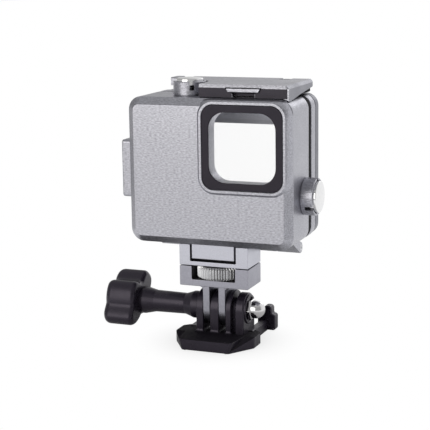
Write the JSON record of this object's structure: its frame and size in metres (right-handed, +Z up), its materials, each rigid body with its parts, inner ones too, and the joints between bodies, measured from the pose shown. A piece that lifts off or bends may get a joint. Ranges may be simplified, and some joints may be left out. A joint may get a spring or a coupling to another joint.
{
  "type": "waterproof action camera housing with tilt mount",
  "caption": "Grey metal waterproof housing for an action camera, with a square lens port, hinged rear door, top latch, push buttons and a tilting quick-release mount with a thumbscrew.",
  "frame": {"origin": "on the buckle's underside, straight below the tilt axis", "axes": "+Z up, -Y where the lens looks, -X where the thumbscrew points"},
  "size_m": [0.0909, 0.0439, 0.1093],
  "materials": {
    "grey_aluminium": "blasted and anodised",
    "bright_aluminium": "satin",
    "charcoal_bezel": "satin",
    "steel": "turned",
    "chrome": "polished",
    "black_plastic": "moulded",
    "rubber": "matt",
    "glass": "clear"
  },
  "bodies": {
    "buckle": {"buckle": "black_plastic", "cap_nut": "chrome"},
    "thumbscrew": {"thumb_knob": "black_plastic", "thumb_bolt": "steel"},
    "housing": {"mount_base": "grey_aluminium", "mount_bracket": "bright_aluminium", "mount_screw_left": "steel", "mount_screw_right": "steel", "front_case": "grey_aluminium", "lens_bezel": "charcoal_bezel", "lens_glass": "glass", "lens_seal": "rubber", "hinge_pin": "steel", "side_block": "grey_aluminium", "block_screw_lower": "steel", "block_screw_upper": "steel", "shutter_collar": "grey_aluminium", "shutter_o_ring": "rubber", "shutter_spring": "steel", "mode_collar": "grey_aluminium", "mode_o_ring": "rubber", "mode_spring": "steel"},
    "thumbwheel": {"thumbwheel": "steel", "mount_stud": "steel"},
    "rear_door": {"door_seal": "rubber", "door_frame": "grey_aluminium", "rear_cover": "grey_aluminium", "rear_window": "glass", "window_seal": "rubber", "cover_screw_top_left": "steel", "cover_screw_top_right": "steel", "cover_screw_bottom_left": "steel", "cover_screw_bottom_right": "steel", "latch_pin": "steel"},
    "latch": {"latch_plate": "grey_aluminium", "lock_spring": "steel"},
    "latch_lock": {"latch_lock": "grey_aluminium"},
    "shutter_button": {"shutter_cap": "chrome", "shutter_plunger": "steel", "shutter_clip": "steel"},
    "mode_button": {"mode_cap": "chrome", "mode_plunger": "steel", "mode_clip": "steel"}
  },
  "joints": [
    {"name": "tilt", "type": "hinge", "parent": "buckle", "child": "housing", "pos_m": [0, 0, 0.0143], "axis": [1, 0, 0], "range_deg": [-25, 60]},
    {"name": "thumbscrew_turn", "type": "hinge", "parent": "buckle", "child": "thumbscrew", "pos_m": [0, 0, 0.0143], "axis": [1, 0, 0], "continuous": true},
    {"name": "thumbwheel_turn", "type": "hinge", "parent": "housing", "child": "thumbwheel", "pos_m": [0, 0, 0.0242], "axis": [0, 0, 1], "continuous": true},
    {"name": "rear_door_swing", "type": "hinge", "parent": "housing", "child": "rear_door", "pos_m": [0, 0.01137, 0.0391], "axis": [-1, 0, 0], "range_deg": [0, 110]},
    {"name": "latch_swing", "type": "hinge", "parent": "rear_door", "child": "latch", "pos_m": [0, 0.02252, 0.10515], "axis": [-1, 0, 0], "range_deg": [0, 100]},
    {"name": "lock_push", "type": "slide", "parent": "latch", "child": "latch_lock", "axis": [0, 1, 0], "range_m": [0, 0.0012], "stiffness_N_per_m": 150, "springref_m": -0.001, "deforming": ["lock_spring"]},
    {"name": "shutter_press", "type": "slide", "parent": "housing", "child": "shutter_button", "axis": [0, 0, -1], "range_m": [0, 0.0018], "stiffness_N_per_m": 500, "springref_m": -0.002, "deforming": ["shutter_spring"]},
    {"name": "mode_press", "type": "slide", "parent": "housing", "child": "mode_button", "axis": [-1, 0, 0], "range_m": [0, 0.0018], "stiffness_N_per_m": 500, "springref_m": -0.002, "deforming": ["mode_spring"]}
  ]
}
